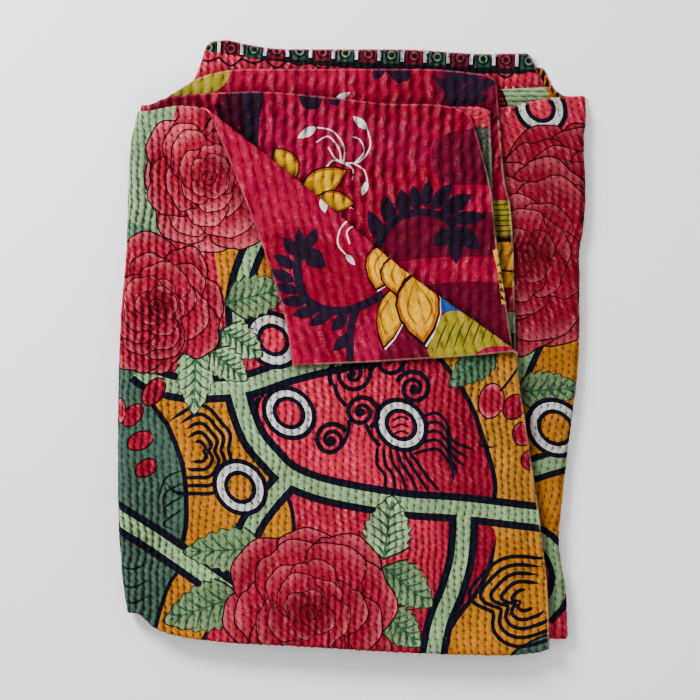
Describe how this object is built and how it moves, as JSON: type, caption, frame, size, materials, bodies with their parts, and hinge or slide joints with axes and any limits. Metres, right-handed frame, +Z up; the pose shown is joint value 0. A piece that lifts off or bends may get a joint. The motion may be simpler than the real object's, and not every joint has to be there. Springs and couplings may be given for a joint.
{
  "type": "kantha quilt",
  "caption": "Thin reversible patchwork-print quilt with running-stitch ridges, folded into a flat stack with one top corner turned back.",
  "frame": {"origin": "under the middle of the folded quilt's box, at the height of the surface that it lies on", "axes": "+Z up out of the stack, +Y along the folded quilt's length towards its end hems, +X towards the folds of its lower layers"},
  "size_m": [0.6204, 0.8212, 0.0415],
  "materials": {
    "quilt_cloth": "matt printed cotton, quilted in rows of running stitch"
  },
  "bodies": {
    "root": {"quilt": "quilt_cloth"}
  },
  "joints": []
}
